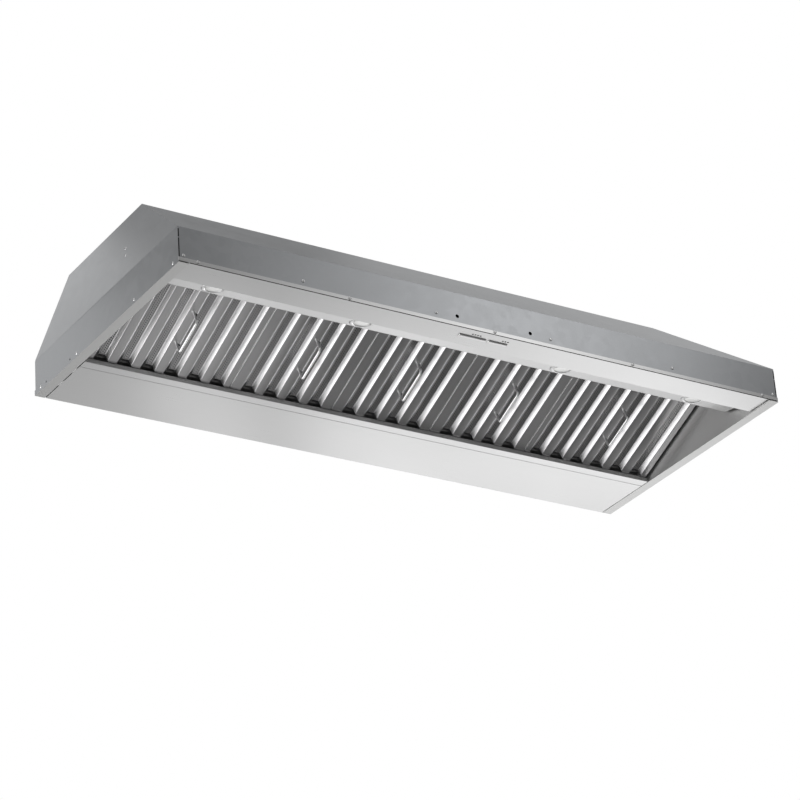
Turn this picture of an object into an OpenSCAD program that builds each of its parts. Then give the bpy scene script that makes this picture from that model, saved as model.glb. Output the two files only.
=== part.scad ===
// Range hood insert: a folded sheet shell that hangs inside a cabinet or a masonry hood.
// From below it shows a control strip, a lamp strip, five tilted baffle filters and a grease
// gutter. One double-inlet blower stands behind the filters and feeds a round duct collar.
// X runs along the front, Y towards the wall, Z up. Sizes along Y are measured from the
// front face; the part is then moved so that the origin is the middle of its underside.

/* [Shell] */
// Overall width of the rim
hood_w = 1480; // [1470:2:1490]
// Overall depth of the rim
hood_d = 635; // [631:1:640]
// Height of the flat top above the rim
hood_h = 310; // [308:1:330]
// Height of the vertical band below the sloping sheets
band_h = 82; // [80:1:86]
// How far the front slope leans back
front_run = 297; // [285:1:300]
// How far each side slope leans in
side_run = 85; // [75:1:86]
// Thickness of the galvanised sheet
wall_t = 1.2; // [1:0.1:1.5]
// Seam left between two sheets that meet
seam = 0.2; // [0.15:0.05:0.3]

/* [Rim trim] */
// Thickness of the stainless sheet of trims and panels
trim_t = 1.2; // [1:0.1:1.5]
// Height of the bright band round the rim
trim_h = 12; // [10:0.5:14]
// Height of the front band's lower edge
trim_foot = 3.5; // [2.8:0.1:4.5]
// Width of a side rail's bottom face
rail_w = 23; // [21:0.5:24]
// Height of a rail's inner wall beside the upper ends of the filters
liner_h = 127; // [124:0.5:128]
// Height of a rail's inner wall at the front
liner_front_h = 42; // [36:1:50]
// Height of a rail's inner wall behind the gutter
liner_rear_h = 48; // [44:1:54]
// Length of the tongues that hold the panels to the rails
tongue_l = 18; // [15:1:22]
// Width of a tongue
tongue_w = 24; // [15:1:28]

/* [Control strip] */
// Height of the control strip above the rim
strip_z = 4; // [3.5:0.1:5]
// Front edge of the control strip
strip_front = 3; // [2.8:0.1:4]
// Rear edge of the control strip
strip_rear = 70; // [68:0.5:72]
// Height of the strip's turned-up front edge
strip_front_h = 2; // [1.8:0.1:2.2]
// Length of the fan bar
bar_l = 66; // [55:1:70]
// Length of the lamp bar
lamp_bar_l = 46; // [40:1:66]
// Width of a rocker bar
bar_w = 9; // [8:0.5:10]
// How far a bar stands below the strip
bar_drop = 2.4; // [1.5:0.1:2.6]
// Thickness of a bar
bar_t = 7; // [6.5:0.5:8]
// Gap between the two bars
bar_gap = 6; // [5:0.5:12]
// Front edge of the bars
bar_front = 28; // [27:0.5:30]
// Gap round a bar in its cut-out
bar_clear = 0.5; // [0.4:0.1:0.8]
// Radius of a bar's pivot stub
pivot_r = 1.6; // [1.4:0.1:1.8]
// Radial play of a pin in its bore
pin_play = 0.05; // [0.03:0.01:0.08]
// Thickness of the bar carrier's walls
carrier_wall = 2; // [1.8:0.1:2.2]
// Height of the bar carrier
carrier_h = 10; // [9.5:0.5:12]
// Thickness of the control board
board_t = 1.6; // [1.2:0.1:2]
// Radius of a light pipe
pipe_r = 1.3; // [1:0.1:1.5]
// Spacing of the light pipes
pipe_pitch = 6.3; // [5.5:0.1:7]
// How far the light pipes lie in front of the bars
pipe_ahead = 8.2; // [7.5:0.1:9]
// Distance of the fan lights' middle from the gap between the bars
fan_pipes_x = 32.5; // [28:0.5:40]
// Distance of the lamp lights' middle from the gap between the bars
lamp_pipes_x = 38.4; // [30:0.2:42]

/* [Lamp strip] */
// Height of the lamp strip's rear edge
lamp_rear_z = 36.5; // [36:0.5:38]
// Rear edge of the lamp strip
lamp_rear = 145; // [143:0.5:146]
// Tilt of the lamp strip
lamp_tilt = 9.5; // [8.5:0.1:10.5]
// Gap between the lamp strip and the rails
strip_gap = 8; // [6:0.5:11]
// Gap between the other panels and the rails
panel_gap = 2; // [0.5:0.1:4]
// Distance of the outer lamps from the middle
lamp_outer_x = 597; // [560:1:620]
// Distance of the inner lamps from the middle
lamp_inner_x = 250; // [220:1:270]
// Distance of a lamp's axis from the strip's rear edge
lamp_back = 29; // [28:0.5:32]
// Radius of a lamp's trim ring
lamp_r = 26; // [24:0.5:27]
// Radius of the lens
lens_r = 18; // [16:0.5:19]
// How far the trim ring stands below the strip
lamp_rim = 2; // [1.5:0.1:2.5]
// Depth of the lamp can above the strip
can_h = 38; // [30:1:45]

/* [Filters] */
// Width of one of the three narrow filters
narrow_w = 250; // [246:1:252]
// Length of a filter up its slope
filter_l = 270; // [262:1:272]
// Thickness of a filter
filter_t = 20; // [19.5:0.5:21]
// Angle of the filters, rising towards the front
filter_tilt = 23; // [22.5:0.1:23.2]
// Distance of the filters' lower edge from the front
filter_end_y = 450; // [449:0.5:451]
// Height of the filters' lower edge
filter_end_z = 12.5; // [12:0.5:14]
// Distance from the rim's side to the outer filters
filter_side = 28; // [27:0.5:30]
// Gap between two filters
filter_gap = 1; // [0.8:0.1:1.5]
// Pitch of the baffle channels
channel_pitch = 54.5; // [54:0.1:55]
// Width of a channel at its mouth
channel_w = 33; // [32:0.2:34]
// Depth of a channel
channel_h = 10.5; // [10:0.1:11]
// How far a channel's right wall leans in
channel_lean = 6.5; // [6:0.1:7]
// How far a channel's left wall leans in
left_lean = 11; // [10:0.1:12]
// Least width of the flat beside the outer channels
edge_min = 12; // [10:0.5:12.5]
// Thickness of the baffle sheet
baffle_t = 0.8; // [0.7:0.1:1]
// Length of an air slot
slot_l = 20; // [18:0.5:22]
// Width of an air slot
slot_w = 11; // [9:0.5:12]
// Pitch of the air slots
slot_pitch = 26; // [25:0.5:28]
// Thickness of a filter's frame
frame_t = 1; // [0.8:0.1:1.2]
// Width of the frame's inner flange
frame_flange = 8; // [6:0.5:10]
// Length of the tail that rests on the ledge
tail_l = 12; // [11:0.5:13]
// Thickness of the mesh pad
mesh_t = 3; // [2.5:0.1:3.5]
// Travel of a filter when it is pushed up
filter_travel = 18; // [16:0.5:18.5]
// Running gap round a filter
filter_clear = 0.3; // [0.25:0.05:0.4]

/* [Handles] */
// Radius of the handle wire
wire_r = 2.5; // [2:0.1:3]
// Distance between a handle's feet
handle_span = 85; // [80:1:90]
// Drop of the handle below the filter
handle_drop = 33; // [28:1:34]
// Radius of the handle's bends, on the wire's axis
handle_bend = 6; // [5:0.5:9]
// Distance of the handle's middle from the filter's lower edge
handle_mid = 126; // [122:1:132]
// Radius of a handle's foot washer
foot_r = 4.5; // [4:0.1:5]
// Thickness of a foot washer
foot_t = 0.8; // [0.6:0.1:1]

/* [Gutter] */
// Front edge of the grease gutter
gutter_front = 452; // [451.5:0.5:453]
// Rear edge of the grease gutter
gutter_rear = 477; // [476.5:0.5:479]
// Height of the gutter's front lip
gutter_lip = 10; // [8:0.5:10]
// Height of the gutter's rear wall
gutter_back_h = 40; // [30:1:42]

/* [Blower] */
// Radius of the blower wheel
wheel_r = 80; // [76:1:81]
// Length of the blower wheel
wheel_l = 170; // [150:2:174]
// Number of blades on the wheel
blade_count = 30; // [20:1:36]
// Height of the wheel's axis
wheel_z = 172; // [170:1:174]
// Distance of the wheel's axis from the front
wheel_y = 440; // [438:1:444]
// Least radius of the scroll
scroll_min = 88; // [86:1:89]
// Greatest radius of the scroll
scroll_max = 128; // [124:1:129]
// Half length of the scroll housing
scroll_half = 95; // [92:1:98]
// Radius of the inlets
inlet_r = 68; // [64:1:70]
// Radius of the motor
motor_r = 42; // [36:1:44]
// Radius of the motor shaft
shaft_r = 6; // [5:0.5:7]
// Underside of the outlet box
box_z = 262; // [260:1:264]

/* [Duct collar] */
// Outer radius of the round duct collar
collar_r = 125.7; // [100:0.1:126]
// Height of the collar above the top
collar_h = 35; // [32:1:38]
// Thickness of the collar's sheet
collar_t = 0.8; // [0.7:0.1:1]
// Distance of the collar's axis from the front
collar_y = 490; // [488:1:492]
// Radius of the damper rod
rod_r = 2; // [1.8:0.1:2.2]
// Height of the damper rod above the top
rod_up = 12; // [11:0.5:14]

/* [Hidden] */

over = 1;
round_fn = 64;
reach = hood_w;

// Sheet envelope: walls stand inside the trim band, so the rim is the widest part.
half_w = hood_w / 2;
wall_in = trim_t;
wall_out = wall_in + wall_t;
inside = wall_out + seam;
front_turn = atan(front_run / (hood_h - band_h));
side_turn = atan(side_run / (hood_h - band_h));
wall_foot = trim_t + seam;
front_foot = trim_foot + trim_t;
function kink(turn) = tan(turn / 2);
function band_top(o, turn) = band_h - o * kink(turn);
function slope_top(run, o, turn) = run + o * kink(90 - turn);

// Fasteners
screw_r = 2.1;
screw_play = 0.1;
head_r = 3.5;
head_h = 2;
shank_l = 5;
rivet_r = 1.6;
rivet_head_r = 3.2;
rivet_head_h = 1.2;
rim_screw_z = 8.5;
rim_screw_out = half_w - 43;
rim_screw_xs = [0, 350, -350, rim_screw_out, -rim_screw_out];
wall_screw_z = 23.5;
wall_screw_xs = [141.5, -141.5, 457, -457];
corner_screw_x = half_w - 12;
corner_screw_z = 17;
wall_hole_r = 2.25;
wall_hole_x = 90.5;
wall_hole_z = 26.3;
side_hole_ys = [hood_d - 164, hood_d - 54];
side_screw_ys = [24, 187, hood_d - 194, hood_d - 28];
slope_rivet_yz = [[290, 187], [272, 160]];

// Strips and panels
strip_top = strip_z + trim_t;
rear_panel_front = gutter_rear + seam;
lamp_front_l = (lamp_rear - strip_rear + trim_t) / cos(lamp_tilt);
strip_rear_z = lamp_rear_z - (lamp_rear - strip_rear + trim_t) * tan(lamp_tilt) - seam;
panel_hem_h = trim_h;
strip_tongue_y = strip_front + (strip_rear - strip_front) / 2;
panel_tongue_ys = [hood_d - 3 * tongue_w, gutter_rear + tongue_w];
rail_in = half_w - rail_w;
panel_half = rail_in - panel_gap;
strip_half = rail_in - strip_gap;

// Controls
fan_bar_x = -(bar_l + bar_gap) / 2;
lamp_bar_x = (lamp_bar_l + bar_gap) / 2;
bars = [[fan_bar_x, bar_l], [lamp_bar_x, lamp_bar_l]];
bar_y = bar_front + bar_w / 2;
carrier_half = bar_l + bar_gap / 2 + bar_clear + carrier_wall + seam;
carrier_in_w = bar_w + 2 * bar_clear;
carrier_w = carrier_in_w + 2 * carrier_wall;
carrier_z = strip_top + seam;
pivot_z = carrier_z + carrier_h - 2 * pivot_r - pin_play;
bar_base = strip_z - bar_drop;
pipe_y = bar_front - pipe_ahead;
pipe_show = 0.3;
board_z = carrier_z + carrier_h + seam;
board_front = pipe_y - 2 * pipe_r - seam;
board_rear = bar_y + carrier_w / 2;
driver_w = 130;
driver_d = 34;
driver_h = 24;
driver_x = 260;
driver_in = 23;

// Filters
filter_total = hood_w - 2 * filter_side;
wide_w = (filter_total - 3 * narrow_w) / 2;
function filter_w(i) = (i == 1 || i == 5 ? wide_w : narrow_w) - filter_gap;
function filter_x(i) = i == 1 ? -(filter_total - wide_w) / 2
    : i == 5 ? (filter_total - wide_w) / 2 : (i - 3) * narrow_w;
face_w = channel_pitch - channel_w;
function sheet_w(i) = filter_w(i) - 2 * (frame_t + seam);
function channels(i) = floor((filter_w(i) - 2 * edge_min + face_w) / channel_pitch);
function channel_x(i, k) = (k - (channels(i) - 1) / 2) * channel_pitch;
right_turn = atan(channel_h / channel_lean);
left_turn = atan(channel_h / left_lean);
slot_shift = (left_lean - channel_lean) / 2;
sheet_top = channel_h + baffle_t + seam;
slots = floor((filter_l - slot_pitch) / slot_pitch);
slot_start = (filter_l - (slots - 1) * slot_pitch - slot_l) / 2;
function handle_x(i) = (channels(i) % 2) * channel_pitch / 2;
notch_w = 7;
notch_l = 8;
notch_back = 7.6;
notch_h = 4;

// Channel that holds the filters' upper ends, and ledge under their tails
hold = 15;
channel_depth = filter_travel + 3;
channel_t = trim_t;
channel_half = filter_total / 2 - 4;
riser_n = -filter_clear - channel_t - seam - trim_t;
riser_flange = 20;
ledge_in = 3;
ledge_top = sheet_top - filter_clear;
ledge_web_y = gutter_rear - trim_t - seam;
function plane_yz(l, n) = [filter_end_y + l * cos(filter_tilt) + n * sin(filter_tilt),
    filter_end_z - l * sin(filter_tilt) + n * cos(filter_tilt)];
function plane_l(y, n) = (y - filter_end_y - n * sin(filter_tilt)) / cos(filter_tilt);

riser_foot = [lamp_rear, lamp_rear_z];
riser_head = plane_yz(hold - filter_l, riser_n);
riser_angle = atan2(riser_head[1] - riser_foot[1], riser_head[0] - riser_foot[0]);
riser_skin = trim_t * [-sin(riser_angle), cos(riser_angle)];

// Blower
scroll_t = 1.2;
cutoff_angle = 60;
scroll_sweep = 300;
scroll_steps = 30;
throat_in = scroll_min * cos(cutoff_angle);
wheel_gap = 2;
blade_depth = 14;
blade_t = 1;
blade_lean = 9;
ring_t = 1.5;
hub_r = 14;
hub_l = 26;
disc_t = 2;
disc_x = 12;
motor_end = -8;
shaft_from = shaft_r - scroll_half;
shaft_to = disc_x + hub_l;
bracket_t = 2;
arm_w = 14;
bracket_r = inlet_r + 12;
box_half = collar_r + 4;
box_wall = 1.2;
roof_z = hood_h - wall_out;

// Duct collar
collar_in = collar_r - collar_t;
top_z = hood_h - wall_in;
flange_w = 14;
knuckle_r = 3.2;
knuckle_l = 18;
front_knuckle_x = 70;
rear_knuckle_x = 35;
flap_t = 0.8;
flap_gap = 1.5;
rod_z = top_z + rod_up;
stop_w = 12;
stop_t = 1;
conduit_r = 11.1;
conduit_x = half_w - 210;
conduit_y = hood_d - 75;
jbox_w = 110;
jbox_d = 70;
jbox_h = 44;
jbox_t = 1.2;
top_hole_r = 3.5;
top_hole_x = half_w - 140;
top_hole_y = 50;

module home() {
    translate([0, -(hood_d - head_h) / 2, 0]) children();
}

module mirror_x() {
    children();
    mirror([1, 0, 0]) children();
}

// Profile of the shell in the YZ plane, o inside the nominal outline
module side_view(o) {
    polygon([[o, 0], [hood_d - o, 0], [hood_d - o, hood_h - o],
        [slope_top(front_run, o, front_turn), hood_h - o], [o, band_top(o, front_turn)]]);
}

// Profile of the shell in the XZ plane, o inside the nominal outline
module front_view(o) {
    polygon([[-half_w + o, 0], [half_w - o, 0], [half_w - o, band_top(o, side_turn)],
        [half_w - slope_top(side_run, o, side_turn), hood_h - o],
        [-half_w + slope_top(side_run, o, side_turn), hood_h - o],
        [-half_w + o, band_top(o, side_turn)]]);
}

module along_x(l) {
    translate([-l / 2, 0, 0]) rotate([90, 0, 90]) linear_extrude(l) children();
}

module along_y(from, to) {
    translate([0, to, 0]) rotate([90, 0, 0]) linear_extrude(to - from) children();
}

// Round bar along X or Y
module bar_x(r, l) {
    rotate([0, 90, 0]) cylinder(r = r, h = l, center = true, $fn = round_fn);
}

module bar_along_y(r, l) {
    rotate([90, 0, 0]) cylinder(r = r, h = l, center = true, $fn = round_fn);
}

module front_holes() {
    for (x = rim_screw_xs)
        translate([x, 0, rim_screw_z]) bar_along_y(screw_r + screw_play, 2 * wall_out + over);
    for (x = wall_screw_xs)
        translate([x, 0, wall_screw_z]) bar_along_y(screw_r + screw_play, 2 * wall_out + over);
    mirror_x() {
        translate([corner_screw_x, 0, corner_screw_z])
            bar_along_y(screw_r + screw_play, 2 * wall_out + over);
        translate([wall_hole_x, 0, wall_hole_z]) bar_along_y(wall_hole_r, 2 * wall_out + over);
    }
}

module side_holes() {
    for (y = side_screw_ys)
        translate([half_w, y, rim_screw_z]) bar_x(rivet_r + screw_play, 2 * wall_out + over);
    for (y = side_hole_ys)
        translate([half_w, y, rim_screw_z]) bar_x(wall_hole_r, 2 * wall_out + over);
}

// Puts things on the outer face of the right side slope, X along its outward normal
module on_slope(y, z) {
    translate([half_w - wall_in / cos(side_turn) - (z - band_h) * tan(side_turn), y, z])
        rotate([0, -side_turn, 0]) children();
}

module front_shell() color("darkgray") home() difference() {
    intersection() {
        along_x(hood_w) polygon([[wall_in, front_foot], [wall_out, front_foot],
            [wall_out, band_top(wall_out, front_turn)],
            [slope_top(front_run, wall_out, front_turn), hood_h - wall_out],
            [slope_top(front_run, wall_in, front_turn), hood_h - wall_in],
            [wall_in, band_top(wall_in, front_turn)]]);
        along_y(0, hood_d) front_view(inside);
    }
    front_holes();
}

module cap() {
    difference() {
        intersection() {
            along_y(0, hood_d) polygon([[half_w - wall_in, wall_foot],
                [half_w - wall_in, band_top(wall_in, side_turn)],
                [half_w - slope_top(side_run, wall_in, side_turn), hood_h - wall_in],
                [half_w - slope_top(side_run, wall_out, side_turn), hood_h - wall_out],
                [half_w - wall_out, band_top(wall_out, side_turn)],
                [half_w - wall_out, wall_foot]]);
            along_x(2 * hood_w) side_view(wall_in);
        }
        side_holes();
        for (p = slope_rivet_yz)
            on_slope(p[0], p[1]) bar_x(rivet_r + screw_play, 2 * wall_out + over);
    }
}

module left_cap() color("darkgray") home() mirror([1, 0, 0]) cap();

module right_cap() color("darkgray") home() cap();

module back_panel() color("darkgray") home() intersection() {
    translate([-half_w, hood_d - wall_out, wall_foot])
        cube([hood_w, wall_t, hood_h - wall_in - wall_foot]);
    along_y(0, hood_d) front_view(inside);
}

module top_panel() color("darkgray") home() difference() {
    translate([-reach, slope_top(front_run, wall_out, front_turn) + seam, roof_z])
        cube([2 * reach, hood_d - slope_top(front_run, wall_out, front_turn) - wall_out - 2 * seam,
            wall_t]);
    mirror_x() translate([half_w - slope_top(side_run, wall_out, side_turn) - seam, 0, 0])
        cube([reach, hood_d, hood_h + over]);
    translate([0, collar_y, roof_z - over])
        cylinder(r = collar_in, h = wall_t + 2 * over, $fn = round_fn);
    translate([conduit_x, conduit_y, roof_z - over])
        cylinder(r = conduit_r, h = wall_t + 2 * over, $fn = round_fn);
    mirror_x() for (y = [slope_top(front_run, wall_out, front_turn) + top_hole_y, hood_d - top_hole_y])
        translate([top_hole_x, y, roof_z - over])
            cylinder(r = top_hole_r, h = wall_t + 2 * over, $fn = round_fn);
}

// Bright band round the rim
module front_trim() color("gainsboro") home() difference() {
    translate([-half_w, 0, trim_foot]) cube([hood_w, trim_t, trim_h - trim_foot]);
    for (x = rim_screw_xs)
        translate([x, 0, rim_screw_z]) bar_along_y(screw_r + screw_play, 2 * trim_t + over);
}

module tongue(y, z) {
    translate([rail_in - tongue_l, y - tongue_w / 2, z]) cube([tongue_l + over, tongue_w, trim_t]);
}

module rail() {
    difference() {
        union() {
            translate([half_w - trim_t, trim_t + seam, 0])
                cube([trim_t, hood_d - trim_t - seam, trim_h]);
            translate([rail_in, 0, 0]) cube([rail_w, hood_d, trim_t]);
            translate([rail_in, 0, 0]) rotate([90, 0, 90]) linear_extrude(trim_t) polygon([
                [inside, 0], [hood_d - inside, 0], [hood_d - inside, trim_h],
                [hood_d - liner_rear_h, liner_rear_h], [gutter_rear, liner_rear_h],
                [lamp_rear + liner_front_h, liner_h], [lamp_rear, liner_h],
                [strip_front, liner_front_h], [inside, trim_h]]);
            tongue(strip_tongue_y, strip_top + seam);
            for (y = panel_tongue_ys) tongue(y, trim_t + seam);
        }
        side_holes();
    }
}

module left_rail() color("gainsboro") home() mirror([1, 0, 0]) rail();

module right_rail() color("gainsboro") home() rail();

// Control strip: a shallow folded tray with cut-outs for the bars and the light pipes
module pipes(count) {
    for (k = [0 : count - 1])
        translate([(k - (count - 1) / 2) * pipe_pitch, pipe_y, 0]) children();
}

module control_strip() color("gainsboro") home() difference() {
    union() {
        translate([-panel_half, strip_front, strip_z])
            cube([2 * panel_half, strip_rear - strip_front, trim_t]);
        translate([-panel_half, strip_front, strip_z])
            cube([2 * panel_half, trim_t, strip_front_h]);
        translate([-panel_half, strip_rear - trim_t, strip_z])
            cube([2 * panel_half, trim_t, strip_rear_z - strip_z]);
    }
    for (b = bars)
        translate([b[0] - b[1] / 2 - bar_clear, bar_front - bar_clear, 0])
            cube([b[1] + 2 * bar_clear, bar_w + 2 * bar_clear, strip_top + over]);
    translate([-fan_pipes_x, 0, 0]) pipes(4)
        cylinder(r = pipe_r + pin_play, h = strip_top + over, $fn = round_fn);
    translate([lamp_pipes_x, 0, 0]) pipes(3)
        cylinder(r = pipe_r + pin_play, h = strip_top + over, $fn = round_fn);
}

module bar(x, l) {
    translate([x, bar_y, 0]) {
        translate([-l / 2, -bar_w / 2, bar_base]) cube([l, bar_w, bar_t]);
        translate([-2 * pivot_r, -bar_w / 2, bar_base])
            cube([4 * pivot_r, bar_w, pivot_z - bar_base]);
        translate([0, 0, pivot_z])
            bar_along_y(pivot_r, carrier_w - seam);
    }
}

module fan_bar() color("silver") home() bar(fan_bar_x, bar_l);

module lamp_bar() color("silver") home() bar(lamp_bar_x, lamp_bar_l);

module bar_carrier() color("dimgray") home() difference() {
    translate([-carrier_half, bar_y - carrier_w / 2, carrier_z])
        cube([2 * carrier_half, carrier_w, carrier_h]);
    for (b = bars)
        translate([b[0] - b[1] / 2 - bar_clear, bar_y - carrier_in_w / 2, 0])
            cube([b[1] + 2 * bar_clear, carrier_in_w, board_z]);
    for (b = bars)
        translate([b[0], bar_y, pivot_z]) bar_along_y(pivot_r + pin_play, carrier_w + over);
}

module control_board() color("darkgreen") home()
    translate([-carrier_half, board_front, board_z])
        cube([2 * carrier_half, board_rear - board_front, board_t]);

module light_pipe() {
    translate([0, 0, strip_z - pipe_show])
        cylinder(r = pipe_r, h = board_z - strip_z + pipe_show, $fn = round_fn);
}

module fan_lights() color("white") home() translate([-fan_pipes_x, 0, 0]) pipes(4) light_pipe();

module lamp_lights() color("white") home() translate([lamp_pipes_x, 0, 0]) pipes(3) light_pipe();

// Lamp strip: tilted panel and the wall that leans back to the filter channel
module on_lamp_plane() {
    translate([0, lamp_rear, lamp_rear_z]) rotate([lamp_tilt, 0, 0]) children();
}

module at_lamps() {
    on_lamp_plane() mirror_x() for (x = [lamp_inner_x, lamp_outer_x])
        translate([x, -lamp_back, 0]) children();
}

module lamp_strip() color("gainsboro") home() difference() {
    union() {
        on_lamp_plane() translate([-strip_half, -lamp_front_l, 0])
            cube([2 * strip_half, lamp_front_l, trim_t]);
        along_x(2 * strip_half) polygon([riser_foot, riser_head,
            riser_head + riser_skin, riser_foot + riser_skin]);
        on_filter_plane() translate([-strip_half, hold - filter_l - riser_flange, riser_n])
            cube([2 * strip_half, riser_flange, trim_t]);
    }
    at_lamps() translate([0, 0, -over])
        cylinder(r = lamp_r - 2 * lamp_rim, h = trim_t + 2 * over, $fn = round_fn);
}

module lamp_trims() color("white") home() at_lamps() difference() {
    union() {
        translate([0, 0, -lamp_rim])
            cylinder(r1 = lamp_r - lamp_rim / 2, r2 = lamp_r, h = lamp_rim, $fn = round_fn);
        cylinder(r = lamp_r - 2 * lamp_rim - seam, h = trim_t + lamp_rim, $fn = round_fn);
    }
    translate([0, 0, -lamp_rim - over])
        cylinder(r = lens_r + seam, h = trim_t + 2 * lamp_rim + 2 * over, $fn = round_fn);
}

module lamp_lenses() color("ivory") home() at_lamps()
    translate([0, 0, -lamp_rim / 2])
        cylinder(r = lens_r, h = trim_t + 3 * lamp_rim / 2 - seam, $fn = round_fn);

module lamp_cans() color("silver") home() at_lamps() translate([0, 0, trim_t + lamp_rim + seam])
    cylinder(r = lamp_r - 2 * lamp_rim, h = can_h, $fn = round_fn);

module lamp_driver() color("dimgray") home()
    translate([driver_x, strip_front + driver_in, strip_top + seam])
        cube([driver_w, driver_d, driver_h]);

// Filter frame of reference: X along the hood, -Y up the slope, Z into the hood
module on_filter_plane() {
    translate([0, filter_end_y, filter_end_z]) rotate([-filter_tilt, 0, 0]) children();
}

module at_filter(i) {
    home() on_filter_plane() translate([filter_x(i), 0, 0]) children();
}

// Corrugated sheet: lower line of the profile from left to right, upper line back
function channel_low(x) = [[x - channel_w / 2, 0], [x - channel_w / 2 + left_lean, channel_h],
    [x + channel_w / 2 - channel_lean, channel_h], [x + channel_w / 2, 0]];
function channel_high(x) = [for (p = channel_low(x))
    [p[0] + baffle_t * (p[0] < x ? -kink(left_turn) : kink(right_turn)), p[1] + baffle_t]];
function sheet_profile(i) = concat(
    [[-sheet_w(i) / 2, 0]],
    [for (k = [0 : channels(i) - 1]) each channel_low(channel_x(i, k))],
    [[sheet_w(i) / 2, 0], [sheet_w(i) / 2, baffle_t]],
    [for (k = [channels(i) - 1 : -1 : 0], m = [3 : -1 : 0]) channel_high(channel_x(i, k))[m]],
    [[-sheet_w(i) / 2, baffle_t]]);

module filter_baffles(i) {
    difference() {
        translate([0, channel_h, 0]) rotate([90, 0, 0])
            linear_extrude(filter_l + channel_h - frame_t) polygon(sheet_profile(i));
        rotate([filter_tilt, 0, 0]) translate([-hood_w, 0, -filter_t])
            cube([2 * hood_w, filter_l, 3 * filter_t]);
        for (k = [0 : channels(i) - 1], s = [0 : slots - 1])
            translate([channel_x(i, k) + slot_shift - slot_w / 2,
                -slot_start - s * slot_pitch - slot_l, channel_h - over])
                cube([slot_w, slot_l, baffle_t + 2 * over]);
        for (side = [-1, 1])
            translate([handle_x(i) + face_w / 2 - notch_w / 2,
                -handle_mid + side * handle_span / 2 + notch_back - notch_l / 2, -over])
                cube([notch_w, notch_l, notch_h + over]);
    }
}

module filter_mesh(i) {
    translate([-sheet_w(i) / 2, -filter_l + frame_t + seam, sheet_top])
        cube([sheet_w(i), filter_l - 2 * (frame_t + seam), mesh_t]);
}

module filter_frame(i) {
    w = filter_w(i);
    difference() {
        translate([-w / 2, -filter_l, 0]) cube([w, filter_l, filter_t]);
        translate([-w / 2 + frame_t, -filter_l + frame_t, -over])
            cube([w - 2 * frame_t, filter_l - 2 * frame_t, filter_t - frame_t + over]);
        translate([-w / 2 + frame_t, -filter_l - over, -over])
            cube([w - 2 * frame_t, filter_l + 2 * over, sheet_top + over]);
        translate([-w / 2 + frame_flange, -filter_l + frame_flange, 0])
            cube([w - 2 * frame_flange, filter_l - 2 * frame_flange, filter_t + over]);
    }
    translate([-w / 2 + frame_t, -frame_t, sheet_top]) cube([w - 2 * frame_t, tail_l + frame_t, frame_t]);
}

module handle_corner() {
    rotate([90, 0, 90]) rotate([0, 0, -90]) rotate_extrude(angle = 90, $fn = round_fn)
        translate([handle_bend, 0]) circle(r = wire_r, $fn = round_fn / 2);
}

module filter_handle(i) {
    translate([handle_x(i), -handle_mid, 0]) {
        for (side = [0, 1]) mirror([0, side, 0]) {
            translate([0, handle_span / 2, -handle_drop + handle_bend])
                cylinder(r = wire_r, h = handle_drop - handle_bend, $fn = round_fn / 2);
            translate([0, handle_span / 2, -foot_t]) cylinder(r = foot_r, h = foot_t, $fn = round_fn);
            translate([0, handle_span / 2 - handle_bend, -handle_drop + handle_bend]) handle_corner();
        }
        translate([0, 0, -handle_drop])
            bar_along_y(wire_r, handle_span - 2 * handle_bend);
    }
}

module filter_channel() color("silver") home() on_filter_plane() {
    low = -filter_clear - channel_t;
    high = filter_t + filter_clear;
    translate([-channel_half, -filter_l - channel_depth, low])
        cube([2 * channel_half, hold + channel_depth, channel_t]);
    translate([-channel_half, -filter_l - channel_depth, low])
        cube([2 * channel_half, channel_t, high - low + channel_t]);
    translate([-channel_half, -filter_l - channel_depth, high])
        cube([2 * channel_half, hold / 2 + channel_depth, channel_t]);
}

module filter_ledge() color("silver") home() {
    low = ledge_top - trim_t;
    web = ledge_web_y - trim_t;
    along_x(2 * strip_half) polygon([plane_yz(ledge_in, low), plane_yz(ledge_in, ledge_top),
        plane_yz(plane_l(ledge_web_y, ledge_top), ledge_top), [ledge_web_y, trim_t + seam],
        [web, trim_t + seam], plane_yz(plane_l(web, low), low)]);
}

module grease_gutter() color("gainsboro") home() {
    translate([-panel_half, gutter_front, 0])
        cube([2 * panel_half, gutter_rear - gutter_front, trim_t]);
    translate([-panel_half, gutter_front, 0]) cube([2 * panel_half, trim_t, gutter_lip]);
    translate([-panel_half, gutter_rear - trim_t, 0]) cube([2 * panel_half, trim_t, gutter_back_h]);
}

module rear_panel() color("gainsboro") home() {
    translate([-panel_half, rear_panel_front, 0])
        cube([2 * panel_half, hood_d - rear_panel_front, trim_t]);
    translate([-panel_half, hood_d - trim_t, 0]) cube([2 * panel_half, trim_t, panel_hem_h]);
}

module junction_box() color("darkgray") home()
    translate([conduit_x - jbox_w / 2, conduit_y - jbox_d / 2, roof_z - seam - jbox_h]) difference() {
        cube([jbox_w, jbox_d, jbox_h]);
        translate([jbox_t, jbox_t, -over])
            cube([jbox_w - 2 * jbox_t, jbox_d - 2 * jbox_t, jbox_h - jbox_t + over]);
        translate([jbox_w / 2, jbox_d / 2, 0]) cylinder(r = conduit_r, h = jbox_h + over, $fn = round_fn);
    }

module junction_cover() color("darkgray") home()
    translate([conduit_x - jbox_w / 2, conduit_y - jbox_d / 2, roof_z - 2 * seam - jbox_h - jbox_t])
        cube([jbox_w, jbox_d, jbox_t]);

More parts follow.
